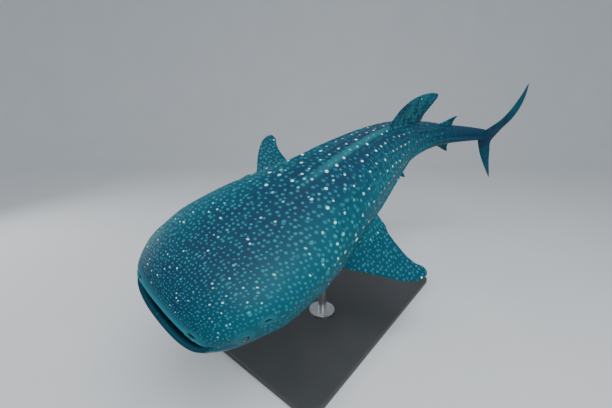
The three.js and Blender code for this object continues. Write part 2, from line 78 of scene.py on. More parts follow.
# The body by share of its length from the snout. Its sizes are the solids' own, in metres or as
# shares of BODY, so the skin lies on the solids.
BODY = 7.0
STATION = [0.06, 0.1, 0.15, 0.2, 0.25, 0.32, 0.4, 0.5, 0.6, 0.68, 0.76, 0.785, 0.81]
HALF_WIDTH = [
    0.0805, 0.0915, 0.0935, 0.087, 0.0815, 0.0735, 0.0645, 0.051, 0.0355, 0.0225, 0.0125, 0.0085, 0.003,
]
BACK_RISE = [0.034, 0.043, 0.052, 0.06, 0.065, 0.069, 0.066, 0.055, 0.038, 0.025, 0.0165, 0.013, 0.006]
BELLY_DROP = [0.042, 0.051, 0.058, 0.063, 0.066, 0.066, 0.06, 0.048, 0.032, 0.02, 0.0135, 0.011, 0.005]
SQUARENESS = [2.7, 2.6, 2.45, 2.3, 2.2, 2.15, 2.1, 2.05, 2, 2, 2, 2, 2]
BODY_END = 0.808
TAIL_ROOT_S = 0.772

# The pose: the middle line's turn to the left and its rise, in radians, and the model's place
TURN_AT = [0, 0.15, 0.32, 0.46, 0.58, 0.7, 0.8, 1]
TURN = [0, 0, -0.088, -0.042, 0.266, 0.685, 0.818, 0.818]
TAIL_RISE = 0.137
RISE_START = 0.2
RISE_LENGTH = 0.6
DIVE = math.radians(9)
BANK = math.radians(21.6)
BALANCE_S = 0.31
SWIM_HEIGHT = 1.5

# Mouth and muzzle
MOUTH_HALF = 0.39
MOUTH_CORNER_S = 0.0265
UPPER_LIP_S = 0.0152
LOWER_LIP_S = 0.0125
CORNER_H = -0.062
UPPER_ARCH = 0.044
JAW_DROP = 0.096
RIM_SQUARENESS = 2.4
MUZZLE_END = 0.06
MUZZLE_LIFT = 0.122
JAW_LIFT = 0.07
MUZZLE_SPREAD = 0.048
JAW_SPREAD = 0.046
MUZZLE_BULGE = 0.0016
MUZZLE_STEP = 0.005
MUZZLE_REACH = 3.2  # how many steps the muzzle runs straight out of the plain sections

# Lips and the mouth's lining, which goes by its depth from 0 at the lip to 1 at the throat
LIP_SWELL = 0.007
LIP_GROOVE = 0.006
LIP_AT = 0.045
LIP_UP = 0.6
MOUTH_DEPTH = 0.56
THROAT_SHRINK = 0.5
THROAT_DROP = 0.38
LINING_ROLL = 0.012
LINING_ROLL_AT = 0.05
LINING_ROLL_IN = (0.6, 0.8)
LINING_ALONG = 0.02
LINING_ACROSS = 0.01
LINING_DEPTHS = [1, 0.9, 0.8, 0.7, 0.6, 0.5, 0.4, 0.32, 0.25, 0.2, 0.15, 0.11, 0.08, 0.06, 0.04, 0.02]

# Ridges as (angle, height, half width in degrees, from, to, rise), and the keel with its peak
RIDGES = [
    (90, 0.02, 7, 0.16, 0.5, 0.06),
    (54, 0.019, 5, 0.19, 0.7, 0.06),
    (30, 0.017, 5, 0.252, 0.68, 0.06),
    (4, 0.019, 5, 0.27, 0.8, 0.06),
]
KEEL = (4, 0.058, 9, 0.64, 0.755, 0.805)

# Gill slits: whole between the first angles of top and foot, and gone at the second ones
GILLS = [0.185, 0.2, 0.215, 0.23, 0.244]
GILL_TOP = (35, 49)
GILL_FOOT = (-9, -22)
GILL_FLAP = 0.015
GILL_FLAP_CURVE = 1.4
GILL_SUNK = 0.022
GILL_FIRST_FLAP = 0.013
GILL_OPENING = 0.004

# Eyes, spiracles and nostrils as places on the skin
EYE_S = 0.05
EYE_ANGLE = 1
EYE_RADIUS = 0.025
EYE_SUNK = 0.014
EYE_GAP = 0.0005
SOCKET_DEPTH = 0.034
LID_RISE = 0.006
LID_CREASE = 0.003
BROW_RISE = 0.006
SPIRACLE_S = 0.072
SPIRACLE_ANGLE = 12
SPIRACLE_SIZE = (0.026, 0.014)
SPIRACLE_DEPTH = 0.02
NOSTRIL_ANGLE = 40
NOSTRIL_SIZE = (0.015, 0.034)
NOSTRIL_DEPTH = 0.016
NOSTRIL_UP = 0.026
PIT_RIM = 0.003
DETAIL_REACH = 0.068
PUSH_REACH = 0.13

# Their shape by the distance from their middle, in their own size: fades as (end, run), and
# bumps as (middle, half width)
SOCKET_FADE = (0.92, 0.2)
LID_BUMP = (1.08, 0.34)
CREASE_BUMP = (1.62, 0.24)
PIT_FADE = (1.05, 0.7)
PIT_RIM_BUMP = (1.25, 0.4)
# Fades of the painted shade in the eye's socket and in the spiracles' and nostrils' pits
EYE_SHADE_FADE = (1.0, 0.2)
PIT_SHADE_FADE = (0.95, 0.4)
NEAR_FADE = (3.2, 1.4)

# Rings of the mesh: their spacing along the body and round it, finer by the eyes and the gill slits
LIP_STEP = 0.0125
LIP_STEPS = 12
LIP_SHARE = 0.15
MUZZLE_RINGS = 34
RING_STEPS = [
    (MUZZLE_END, 0.09, 0.0016),
    (0.09, 0.27, 0.0034),
    (0.27, 0.77, 0.0052),
    (0.77, BODY_END, 0.0035),
]
GILL_RINGS = (-0.001, -0.0001, 0.0001, 0.0007, 0.0015, 0.0025, 0.004)
GILL_CLEAR = (0.0012, 0.001)
PLAIN_TURN = 2.2
FINE_TURN = 1.0
FINE_BAND = (-14, 22)
LAST_ANGLE = -89
DETAIL_CUTS = [(DETAIL_REACH, 2), (DETAIL_REACH * 0.62, 1)]  # how near a feature, and how many cuts

# Spot spacing along the body, in metres: fine on the lip, wider behind the head. The count of the
# body's spots starts LIP_BEFORE ahead of the snout's section, as the lip's pattern does.
SPOT_START = 0.0175
SPOT_GROWTH = 0.034
SPOT_LIMIT = 0.07
FIN_SPOTS = 0.048
LIP_BEFORE = 0.4
CELLS_LENGTH = 8.0
CELL_STEPS = 1600
ROW_STEP = 0.165
ROW_SPACING = 0.135

# The pale belly: its upper edge in degrees up the flank, which drops behind the snout, and its end
# as a share of the body. On the chin it starts within the muzzle's sweep.
PALE_EDGE = (-30, -46)
PALE_DROP_START = 0.05
PALE_DROP_LENGTH = 0.25
PALE_SOFTNESS = 16
PALE_FADE = (0.79, 0.09)
CHIN_FADE = (-8, 14)
CHIN_START = 0.16
CHIN_LENGTH = 0.14

# A skin with fewer faces than this has lost its body
LEAST_FACES = 1000

# Masks at the skin's points, which its paint reads. The lip's is below 0 on the lower lip. The slit's and
# the inside's carry painted shade: in the gill slits, eye sockets and pits, and in the mouth.
MASKS = ("fin", "inside", "pale", "slit", "lip")
LIP_BAND = 0.3  # share of the muzzle's sweep in which the lip's band fades
LIP_PART = 0.06  # sine of the ring's angle by which the upper lip's band is whole
MOUTH_SHADE_DEPTH = 0.07  # depth in the mouth from which its painted shade is whole
# Painted shade in each gill slit: its middle behind the slit and its half width, in shares of BODY
SLIT_SHADE_MIDDLE = 0.0009
SLIT_SHADE_HALF = 0.0022

# Camera, from the photo's perspective on the body
CAMERA_PLACE = (1.8173, -2.6948, 2.3885)
CAMERA_TURN = math.radians(39.82)
CAMERA_DOWN = math.radians(18.03)
CAMERA_LENS = 17.74
CAMERA_SENSOR = 36

# Light, and the floor's sweep up into the backdrop
KEY_LIGHT = {"place": (3.5, -2.0, 7.5), "aim": (0, 0.3, 1.4), "size": 6.0}
FILL_LIGHT = {"place": (-6.5, -3.5, 3.5), "aim": (0, 0, 1.4), "size": 4.0}
WORLD_STRENGTH = 0.9
FLOOR_FRONT = -12.0
SWEEP_START = 9.0
SWEEP_RADIUS = 8.0
SWEEP_HALF = 34.0
SWEEP_STEPS = 24
BACKDROP_RISE = 14.0

# Bolts of the feet: lengths in bolt radiuses, and the gap over the foot in metres
BOLT_SIDES = 6
BOLT_HEIGHT = 0.9
BOLT_INSET = 2.4
BOLT_GAP = 0.0003
BOLT_INPUTS = (
    ("Count", "NodeSocketInt"),
    ("Ring radius", "NodeSocketFloat"),
    ("Bolt radius", "NodeSocketFloat"),
    ("Bolt height", "NodeSocketFloat"),
    ("Place", "NodeSocketVector"),
)
BOLT_NODES = (
    "NodeGroupInput", "NodeGroupOutput", "GeometryNodeMeshCircle", "GeometryNodeMeshCylinder",
    "GeometryNodeInstanceOnPoints", "GeometryNodeTransform", "GeometryNodeRealizeInstances",
    "GeometryNodeSetMaterial",
)


def smooth(x):
    x = min(1.0, max(0.0, x))
    return x * x * (3 - 2 * x)


def mix(a, b, t):
    return a + (b - a) * t


def curve_of(xs, ys):
    """A smooth curve through a table that doesn't overshoot between its points."""
    slope = [(ys[i + 1] - ys[i]) / (xs[i + 1] - xs[i]) for i in range(len(xs) - 1)]
    tangent = [slope[0]]
    for before, after in zip(slope[:-1], slope[1:]):
        tangent.append(0.0 if before * after <= 0 else 2 * before * after / (before + after))
    tangent.append(slope[-1])

    def value(x):
        if x <= xs[0]:
            return ys[0] + tangent[0] * (x - xs[0])
        if x >= xs[-1]:
            return ys[-1]
        i = next(k for k in range(len(xs)) if xs[k] > x) - 1
        step = xs[i + 1] - xs[i]
        t = (x - xs[i]) / step
        t2 = t * t
        t3 = t2 * t
        return (
            (2 * t3 - 3 * t2 + 1) * ys[i]
            + (t3 - 2 * t2 + t) * step * tangent[i]
            + (3 * t2 - 2 * t3) * ys[i + 1]
            + (t3 - t2) * step * tangent[i + 1]
        )

    return value


half_width = curve_of(STATION, HALF_WIDTH)
back_rise = curve_of(STATION, BACK_RISE)
belly_drop = curve_of(STATION, BELLY_DROP)
squareness = curve_of(STATION, SQUARENESS)
turn = curve_of(TURN_AT, TURN)


def walk_middle_line(steps=400):
    """Places and directions tailward, left and up along the bent middle line."""
    line = []
    place = Vector((0, 0, 0))
    for i in range(steps + 1):
        s = i / steps
        yaw = turn(s)
        rise = TAIL_RISE * smooth((s - RISE_START) / RISE_LENGTH)
        back = Vector((math.sin(yaw) * math.cos(rise), math.cos(yaw) * math.cos(rise), math.sin(rise)))
        left = Vector((math.cos(yaw), -math.sin(yaw), 0))
        line.append((place.copy(), back, left, left.cross(back).normalized()))
        place += back * (BODY / steps)
    return line


LINE = walk_middle_line()
POSE = Matrix.Rotation(DIVE, 4, "X") @ Matrix.Rotation(BANK, 4, "Y")


def frame_at(s):
    steps = len(LINE) - 1
    at = min(steps - 1e-6, max(0.0, s * steps))
    i = int(at)
    t = at - i
    place = LINE[i][0].lerp(LINE[i + 1][0], t)
    back, left, up = (LINE[i][k].lerp(LINE[i + 1][k], t).normalized() for k in (1, 2, 3))
    return place + back * ((s * steps - at) * BODY / steps), back, left, up


def body_point(s, a, h):
    """A point of the body's own frame, still unturned."""
    place, _, left, up = frame_at(s)
    return place + left * a + up * h


BALANCE = POSE @ body_point(BALANCE_S, 0, 0)
TO_STAND = Matrix.Translation((-BALANCE.x, -BALANCE.y, SWIM_HEIGHT - BALANCE.z)) @ POSE
STAND_TURN = TO_STAND.to_3x3()


def fade(x, end, run):
    """Falls smoothly to 0 at end, from 1 at a run before it."""
    return smooth((end - x) / run)


def bump(x, middle, half):
    """A round rise to 1 at the middle, from 0 at half a width on either side."""
    return 0.5 + 0.5 * math.cos(math.pi * max(-1.0, min(1.0, (x - middle) / half)))


def up_angle(angle):
    side = 180 - abs(angle) if abs(angle) > 90 else abs(angle)
    return side if angle >= 0 else -side


def gill_span(up):
    """How high a gill flap stands at an angle up the flank, from 0 past its ends to 1."""
    top = (GILL_TOP[1] - up) / (GILL_TOP[1] - GILL_TOP[0])
    foot = (up - GILL_FOOT[1]) / (GILL_FOOT[0] - GILL_FOOT[1])
    return smooth(min(top, foot))


def relief(s, angle):
    """How far the surface stands out over the plain section."""
    up = up_angle(angle)
    out = 0.0
    for place, height, width, start, end, rise in RIDGES:
        along = smooth((s - start) / rise) * smooth((end - s) / rise)
        out += height * along * bump(up, place, width)
    place, height, width, start, peak, end = KEEL
    keel = min(smooth((s - start) / (peak - start)), smooth((end - s) / (end - peak)))
    out += height * keel * bump(up, place, width)
    high = gill_span(up)
    if high > 0:
        for i, slit in enumerate(GILLS):
            behind = s - slit
            flap = GILL_FIRST_FLAP if i == 0 else slit - GILLS[i - 1] - GILL_OPENING
            if -flap < behind <= 0:
                out += GILL_FLAP * high * (1 + behind / flap) ** GILL_FLAP_CURVE
            if 0 < behind < GILL_OPENING:
                out -= GILL_SUNK * high * (1 - behind / GILL_OPENING) ** 2
    return out


def signed_power(x, p):
    return math.copysign(abs(x) ** p, x)


def cos_sin(angle):
    return math.cos(math.radians(angle)), math.sin(math.radians(angle))


def section(s, angle, extra=0.0):
    """A point of the section as (a, h), grown outwards by its relief and extra."""
    c, v = cos_sin(angle)
    width = half_width(s) * BODY
    high = (back_rise(s) if v > 0 else belly_drop(s)) * BODY
    power = 2 / squareness(s)
    nx, ny = c / width, v / high
    size = math.hypot(nx, ny)
    out = relief(s, angle) + extra
    return (
        width * signed_power(c, power) + nx / size * out,
        high * signed_power(v, power) + ny / size * out,
    )


def rim(angle):
    """The mouth's rim: the upper lip from 0 to 180 degrees, the lower lip below."""
    c, v = cos_sin(angle)
    bow = max(0.0, 1 - abs(c) ** RIM_SQUARENESS) ** (1 / RIM_SQUARENESS)
    front = UPPER_LIP_S if v >= 0 else LOWER_LIP_S
    fall = UPPER_ARCH * bow if v >= 0 else -JAW_DROP * bow
    return mix(MOUTH_CORNER_S, front, bow), MOUTH_HALF * c, CORNER_H + fall


def muzzle(t, angle):
    """The rounded sweep from the mouth's rim at t = 0 out to the first plain section at t = 1."""
    s0, a0, h0 = rim(angle)
    c, v = cos_sin(angle)
    lift = MUZZLE_LIFT if v >= 0 else JAW_LIFT
    spread = MUZZLE_SPREAD if v >= 0 else JAW_SPREAD
    end_a, end_h = section(MUZZLE_END, angle)
    next_a, next_h = section(MUZZLE_END + MUZZLE_STEP, angle)
    stops = [
        (s0, a0, h0),
        (s0 - MUZZLE_BULGE * abs(v), a0 + spread * c, h0 + lift * v),
        (
            MUZZLE_END - MUZZLE_STEP * MUZZLE_REACH,
            end_a - (next_a - end_a) * MUZZLE_REACH,
            end_h - (next_h - end_h) * MUZZLE_REACH,
        ),
        (MUZZLE_END, end_a, end_h),
    ]
    q = 1 - t
    weights = (q ** 3, 3 * q * q * t, 3 * q * t * t, t ** 3)
    s, a, h = (sum(w * stop[k] for w, stop in zip(weights, stops)) for k in range(3))
    lip = LIP_SWELL * bump(t, LIP_AT, LIP_AT) - LIP_GROOVE * bump(t, 3 * LIP_AT, LIP_AT)
    return s - lip * abs(v) / BODY, a + c * lip, h + v * lip * LIP_UP


def lining(depth, angle):
    """The mouth's lining, rolled in at the lip and narrowing to the throat."""
    s0, a0, h0 = rim(angle)
    c, v = cos_sin(angle)
    shrink = 1 - THROAT_SHRINK * smooth(depth)
    middle = CORNER_H - JAW_DROP * THROAT_DROP
    roll = LINING_ROLL * bump(depth, LINING_ROLL_AT, LINING_ROLL_AT)
    roll_a, roll_h = LINING_ROLL_IN
    return (
        mix(s0, s0 + MOUTH_DEPTH / BODY, depth),
        a0 * shrink - roll * roll_a * c,
        middle + (h0 - middle) * shrink - roll * roll_h * v,
    )


def spot_size(along):
    return np.minimum(SPOT_LIMIT, SPOT_START + SPOT_GROWTH * np.maximum(0.0, along))


def spacing_walk():
    """Counts the spot cells passed from the lip on, for even cells of changing size."""
    step = CELLS_LENGTH / CELL_STEPS
    middles = (np.arange(CELL_STEPS) + 0.5) * step - LIP_BEFORE
    return np.concatenate(([0.0], np.cumsum(step / spot_size(middles))))


def spot_cells(pattern, on_fin):
    """The pattern's own coordinates of skin points: both in spot cells."""
    if on_fin:
        return np.array(pattern) / FIN_SPOTS
    along, across = np.array(pattern).T
    at = (along + LIP_BEFORE) / CELLS_LENGTH * CELL_STEPS
    count = np.interp(at, np.arange(CELL_STEPS + 1), spacing_walk())
    return np.column_stack((count, across / spot_size(along)))


def ring_angles():
    """Angles round a ring from the back's middle over the right side, finer by the eyes and the keel."""
    side = []
    angle = 90.0
    while angle > LAST_ANGLE:
        angle -= FINE_TURN if FINE_BAND[0] < angle <= FINE_BAND[1] else PLAIN_TURN
        side.append(angle)
    side = [a for a in side if a > LAST_ANGLE]
    return [90.0] + [180 - a for a in side] + [-90.0] + side[::-1]


def body_shares():
    """Shares along the body behind the muzzle, closer at the eyes and the gill slits."""
    plain = [MUZZLE_END]
    for start, end, step in RING_STEPS:
        count = round((end - start) / step)
        plain += [mix(start, end, i / count) for i in range(1, count + 1)]
    before, after = GILL_CLEAR
    clear = [x for x in plain if all(not slit - before < x < slit + GILL_OPENING + after for slit in GILLS)]
    return sorted(clear + [slit + step for slit in GILLS for step in GILL_RINGS])


def ring_mesh(name, rings, on_fin):
    """A closed mesh from rings of (point, (along, across), masks), with its pattern and masks."""
    around = len(rings[0])
    last = (len(rings) - 1) * around
    verts = [vert for ring in rings for vert in ring]
    sides = [(j, (j + 1) % around) for j in range(around)]
    faces = []
    for row in range(0, last, around):
        for j, k in sides:
            faces.append((row + j, row + k, row + around + k, row + around + j))
    for row, flip in ((0, True), (last, False)):
        ring = verts[row:row + around]
        centre = len(verts)
        verts.append((sum((point for point, _, _ in ring), Vector()) / around, *ring[0][1:]))
        for j, k in sides:
            faces.append((row + k, row + j, centre) if flip else (row + j, row + k, centre))
    points, pattern, masks = zip(*verts)
    data = bpy.data.meshes.new(name)
    data.from_pydata([TO_STAND @ point for point in points], [], faces)
    corners = np.empty(len(data.loops), dtype=np.int32)
    data.loops.foreach_get("vertex_index", corners)
    for title, places in (("Pattern", spot_cells(pattern, on_fin)), ("Metric", np.array(pattern))):
        data.uv_layers.new(name=title).uv.foreach_set("vector", places[corners].ravel())
    for key, values in zip(MASKS, np.array(masks).T):
        attribute = data.attributes.new(key, "FLOAT", "POINT")
        attribute.data.foreach_set("value", values.astype(np.float32))
    data.attributes.new("calm", "FLOAT", "POINT")
    tool = bmesh.new()
    tool.from_mesh(data)
    bmesh.ops.recalc_face_normals(tool, faces=tool.faces)
    tool.to_mesh(data)
    tool.free()
    return data


def pale_amount(s, up):
    """How pale the skin is at a share of the body and an angle up the flank: 1 on the belly."""
    edge = mix(*PALE_EDGE, smooth((s - PALE_DROP_START) / PALE_DROP_LENGTH))
    return smooth((edge - up) / PALE_SOFTNESS + 0.5) * fade(s, *PALE_FADE)


def arc_of_ring(points):
    """Signed distance round a ring from the back's middle, positive on the left side."""
    half = len(points) // 2
    away = [0.0] * len(points)
    for i in range(1, half + 1):
        away[i] = away[i - 1] - (points[i] - points[i - 1]).length
    run = 0.0
    for i in range(len(points) - 1, half, -1):
        after = points[(i + 1) % len(points)]
        run += (points[i] - after).length
        away[i] = run
    return away


def lining_rings(angles):
    """The inside of the mouth, from the throat out to the lip."""
    rings = []
    for depth in LINING_DEPTHS:
        # Painted shade in the mouth, from none at the lip to whole a little way in
        inside = smooth(depth / MOUTH_SHADE_DEPTH)
        rings.append([
            (body_point(*lining(depth, angle)), (LINING_ALONG, i * LINING_ACROSS), (0, inside, 0, 0, 0))
            for i, angle in enumerate(angles)
        ])
    return rings


def muzzle_rings(angles):
    """The muzzle, its pattern measured forwards along its own surface."""
    sweep = [LIP_STEP * k for k in range(LIP_STEPS + 1)]
    sweep += [mix(LIP_SHARE, 1, k / MUZZLE_RINGS) for k in range(1, MUZZLE_RINGS)]
    swept = [[body_point(*muzzle(t, angle)) for angle in angles] for t in sweep]
    alongs = [[MUZZLE_END * BODY] * len(angles)]
    for ahead, behind in zip(swept[-2::-1], swept[:0:-1]):
        steps = [(a - b).length for a, b in zip(ahead, behind)]
        alongs.append([place - step for place, step in zip(alongs[-1], steps)])
    rings = []
    for t, points, along in zip(sweep, swept, alongs[::-1]):
        ring = []
        for angle, place, point, arc in zip(angles, along, points, arc_of_ring(points)):
            up = up_angle(angle)
            chin = fade(up, *CHIN_FADE) * smooth((t - CHIN_START) / CHIN_LENGTH)
            pale = mix(chin, pale_amount(MUZZLE_END, up), smooth(t))
            upper = 2 * smooth((cos_sin(angle)[1] + LIP_PART) / (2 * LIP_PART)) - 1
            lip = smooth(1 - t / LIP_BAND) * upper
            ring.append((point, (place, arc), (0, 0, pale, 0, lip)))
        rings.append(ring)
    return rings


def trunk_rings(angles):
    """The body from the muzzle's end to the tail."""
    rings = []
    for s in body_shares():
        points = [body_point(s, *section(s, angle)) for angle in angles]
        ring = []
        for angle, point, arc in zip(angles, points, arc_of_ring(points)):
            up = up_angle(angle)
            # Painted shade in the sunk groove just behind each gill slit
            slit = gill_span(up) * max(bump(s - g, SLIT_SHADE_MIDDLE, SLIT_SHADE_HALF) for g in GILLS)
            ring.append((point, (s * BODY, arc), (0, 0, pale_amount(s, up), slit, 0)))
        rings.append(ring)
    return rings


# Fins, as the solids have them: share of the span against front and rear edges
PECTORAL = (
    [-0.3, 0, 0.1, 0.25, 0.5, 0.73, 0.9, 0.975, 1],
    [0.08, 0.12, 0.19, 0.33, 0.56, 0.77, 0.97, 1.1, 1.2],
    [1.26, 1.25, 1.22, 1.21, 1.21, 1.25, 1.34, 1.33, 1.27],
)
DORSAL = (
    [0, 0.1, 0.25, 0.5, 0.75, 0.92, 1],
    [-0.22, -0.09, 0.1, 0.41, 0.94, 1.48, 1.9],
    [1.5, 1.94, 1.96, 2.1, 2.26, 2.33, 2.26],
)
SMALL_FIN = (
    [0, 0.12, 0.35, 0.65, 0.88, 1],
    [0, 0.26, 0.66, 1.14, 1.52, 1.76],
    [1.3, 1.72, 1.68, 1.74, 1.86, 1.9],
)
LOBE_SPAN = [0, 0.15, 0.4, 0.65, 0.85, 0.96, 1]
UPPER_LOBE = (
    LOBE_SPAN,
    [-0.02, 0.07, 0.26, 0.42, 0.57, 0.66, 0.7],
    [0.37, 0.38, 0.49, 0.61, 0.7, 0.745, 0.755],
)
LOWER_LOBE = (
    LOBE_SPAN,
    [-0.02, 0.05, 0.18, 0.34, 0.48, 0.56, 0.6],
    [0.4, 0.37, 0.45, 0.53, 0.6, 0.635, 0.645],
)
PECTORAL_SHAPE = {
    "plan": PECTORAL, "s": 0.2, "span": 0.64, "thick": 0.092, "sunk": 0.2, "bend": 0.04, "pitch": 10,
}
PELVIC_SHAPE = {"plan": SMALL_FIN, "s": 0.505, "span": 0.215, "thick": 0.04, "sunk": 0.06, "droop": 60}
LOBE_SHAPE = {"twist": -0.06, "thick": 0.058}
FINS = [
    {**PECTORAL_SHAPE, "angle": -24, "droop": 27},
    {**PECTORAL_SHAPE, "angle": 204, "droop": -18},
    {"plan": DORSAL, "s": 0.475, "angle": 90, "span": 0.455, "thick": 0.074, "sunk": 0.1},
    {"plan": SMALL_FIN, "s": 0.657, "angle": 90, "span": 0.16, "thick": 0.032, "sunk": 0.045},
    {**PELVIC_SHAPE, "angle": -62},
    {**PELVIC_SHAPE, "angle": 242},
    {"plan": SMALL_FIN, "s": 0.664, "angle": -90, "span": 0.17, "thick": 0.03, "sunk": 0.04},
]
LOBES = [
    {**LOBE_SHAPE, "plan": UPPER_LOBE, "side": 1, "span": 0.785, "lean": 0.45, "bend": -0.61},
    {**LOBE_SHAPE, "plan": LOWER_LOBE, "side": -1, "span": 0.725, "bend": 0.15},
]
FIN_TIP_THICK = 0.012
FOIL_TAPER = 0.75
FOIL_PEAK = 0.431
THINNING = 0.8
TIP_POWER = 14
TIP_LEAST = 0.02
FLARE_FRONT = 0.8
FLARE_REAR = 0.3
FLARE_SIDE = 1.2
HALF_GIRTH = 1.5  # about half way round the body, where a fin's pattern starts from
RING_CROWDING = 1.35  # crowds a fin's rings towards its tip
LARGE_FIN_SPAN = 0.4
LARGE_FIN_MESH = {"steps": 44, "chord_steps": 26, "flare_size": 0.035}
SMALL_FIN_MESH = {"steps": 24, "chord_steps": 16, "flare_size": 0.014}
LOBE_MESH = {"steps": 54, "chord_steps": 22, "flare_size": 0.02}


def foil(share):
    """Half thickness of a fin's section at a share of its chord, 1 at its thickest."""
    return math.sqrt(share) * (1 - share) ** FOIL_TAPER / FOIL_PEAK


def median_place(fin):
    side = math.copysign(1, fin["angle"])

    def place(out, back, across):
        s = fin["s"] + back / BODY
        edge = (back_rise(s) if side > 0 else belly_drop(s)) * BODY
        return body_point(s, across, side * (edge + out))

    return place


def paired_place(fin):
    a, h = section(fin["s"], fin["angle"])
    origin = body_point(fin["s"], a, h)
    _, back, left, up = frame_at(fin["s"])
    side = math.copysign(1, a)
    droop = math.radians(fin["droop"])
    pitch = math.radians(fin.get("pitch", 0))
    outward = left * (side * math.cos(droop)) - up * math.sin(droop)
    face = (outward.cross(back) * side).normalized()
    along = back * math.cos(pitch) + face * math.sin(pitch)
    face = face * math.cos(pitch) - back * math.sin(pitch)
    return lambda out, rear, across: origin + outward * out + along * rear + face * across


def lobe_place(lobe):
    place, back, left, up = frame_at(TAIL_ROOT_S)
    return lambda out, rear, across: place + up * (lobe["side"] * out) + back * rear + left * across


def fin_rings(fin, place, steps, chord_steps, flare_size):
    """Rings round a fin from its root inside the body out to its tip, flared at the root."""
    share, front, rear = fin["plan"]
    front_at = curve_of(share, front)
    rear_at = curve_of(share, rear)
    span = fin["span"]
    angle = fin.get("angle", 90)
    chord = [0.5 - 0.5 * math.cos(math.pi * i / chord_steps) for i in range(chord_steps + 1)]
    root_arc = abs(90 - up_angle(angle)) / 180 * HALF_GIRTH
    side = 1 if cos_sin(angle)[0] >= -1e-6 else -1
    under = 1.0 if "droop" in fin else 0.0
    rings = []
    for i in range(steps + 1):
        out = mix(-fin.get("sunk", 0), span, 1 - (1 - i / steps) ** RING_CROWDING)
        at = max(share[0], out / span)
        free = max(0.0, at)
        thick = mix(fin["thick"], FIN_TIP_THICK, free ** THINNING)
        bend = fin.get("lean", 0) * free + fin.get("bend", 0) * free * free
        twist = fin.get("twist", 0) * free
        flare = flare_size * math.exp(-max(0.0, out) / flare_size)
        lead = front_at(at) * span - flare * FLARE_FRONT
        tail = rear_at(at) * span + flare * FLARE_REAR
        rounding = math.sqrt(max(TIP_LEAST, 1 - free ** TIP_POWER))
        upper, lower = [], []
        for x in chord:
            flank = flare * math.sqrt(max(0.0, x * (1 - x))) * FLARE_SIDE
            swell = (foil(x) * thick / 2 + flank) * rounding
            along = mix(lead, tail, x)
            middle = bend + twist * x
            where = (fin.get("s", TAIL_ROOT_S) * BODY + along, side * (root_arc + out))
            upper.append((place(out, along, middle + swell), where, (1, 0, 0, 0, 0)))
            lower.append((place(out, along, middle - swell), where, (1, 0, under, 0, 0)))
        rings.append(upper + lower[-2:0:-1])
    return rings


def side_angle(angle, side):
    return angle if side > 0 else 180 - angle


def feature_place(s, angle, side, extra=0.0):
    """A place on the skin, the way out of it and the way tailward."""
    a, h = section(s, side_angle(angle, side), extra)
    _, back, left, _ = frame_at(s)
    return TO_STAND @ body_point(s, a, h), (STAND_TURN @ (left * side)).normalized(), STAND_TURN @ back


def features():
    """Eyes, spiracles and nostrils as (kind, centre, outward, tailward, size)."""
    found = []
    for side in (1, -1):
        found.append(("eye", *feature_place(EYE_S, EYE_ANGLE, side), (EYE_RADIUS, EYE_RADIUS)))
        found.append(("spiracle", *feature_place(SPIRACLE_S, SPIRACLE_ANGLE, side), SPIRACLE_SIZE))
        s, a, h = rim(side_angle(NOSTRIL_ANGLE, side))
        _, back, _, up = frame_at(s)
        centre = TO_STAND @ body_point(s, a, h + NOSTRIL_UP)
        found.append(("nostril", centre, STAND_TURN @ -back, STAND_TURN @ up, NOSTRIL_SIZE))
    return found


def feature_push(kind, reach):
    """How far the skin stands out or lies in at a distance counted in the feature's own size."""
    if kind == "eye":
        socket = SOCKET_DEPTH * fade(reach, *SOCKET_FADE)
        lid = LID_RISE * bump(reach, *LID_BUMP)
        crease = LID_CREASE * bump(reach, *CREASE_BUMP)
        return lid + BROW_RISE * fade(reach, *NEAR_FADE) - socket - crease
    depth = SPIRACLE_DEPTH if kind == "spiracle" else NOSTRIL_DEPTH
    return PIT_RIM * bump(reach, *PIT_RIM_BUMP) - depth * fade(reach, *PIT_FADE)


def carve_features(data):
    """Refines the skin round the eyes, spiracles and nostrils, shapes it there, and paints shade into the
    eye sockets and the pits.
    """
    places = features()
    tool = bmesh.new()
    tool.from_mesh(data)
    for radius, cuts in DETAIL_CUTS:
        edges = set()
        for face in tool.faces:
            middle = face.calc_center_median()
            if any((middle - place[1]).length < radius for place in places):
                edges.update(face.edges)
        bmesh.ops.subdivide_edges(tool, edges=list(edges), cuts=cuts, use_grid_fill=True, smooth=0.0)
    # The slit mask also takes the painted shade of the eye sockets and the pits
    dark = tool.verts.layers.float["slit"]
    calm = tool.verts.layers.float["calm"]
    for kind, centre, out, along, (long, high) in places:
        across = out.cross(along).normalized()
        for vert in tool.verts:
            away = vert.co - centre
            if away.length > PUSH_REACH:
                continue
            reach = math.hypot(away.dot(along) / long, away.dot(across) / high)
            vert.co += out * feature_push(kind, reach)
            # Painted shade, whole in the middle of the eye's socket and of each pit, fading out towards its
            # rim
            inner = fade(reach, *(EYE_SHADE_FADE if kind == "eye" else PIT_SHADE_FADE))
            vert[dark] = max(vert[dark], inner)
            vert[calm] = max(vert[calm], fade(reach, *NEAR_FADE))
    tool.to_mesh(data)
    tool.free()


def shark_mesh():
    angles = ring_angles()
    rings = lining_rings(angles) + muzzle_rings(angles) + trunk_rings(angles)
    data = ring_mesh("shark_skin", rings, False)
    carve_features(data)
    return data


def fin_meshes():
    parts = []
    for fin in FINS:
        place = paired_place(fin) if "droop" in fin else median_place(fin)
        parts.append((fin, place, LARGE_FIN_MESH if fin["span"] > LARGE_FIN_SPAN else SMALL_FIN_MESH))
    parts += [(lobe, lobe_place(lobe), LOBE_MESH) for lobe in LOBES]
    return [
        ring_mesh(f"fin_{index}", fin_rings(fin, place, **fineness), True)
        for index, (fin, place, fineness) in enumerate(parts)
    ]


def new_object(name, data, material=None):
    piece = bpy.data.objects.new(name, data)
    bpy.context.scene.collection.objects.link(piece)
    if material:
        data.materials.append(material)
    return piece


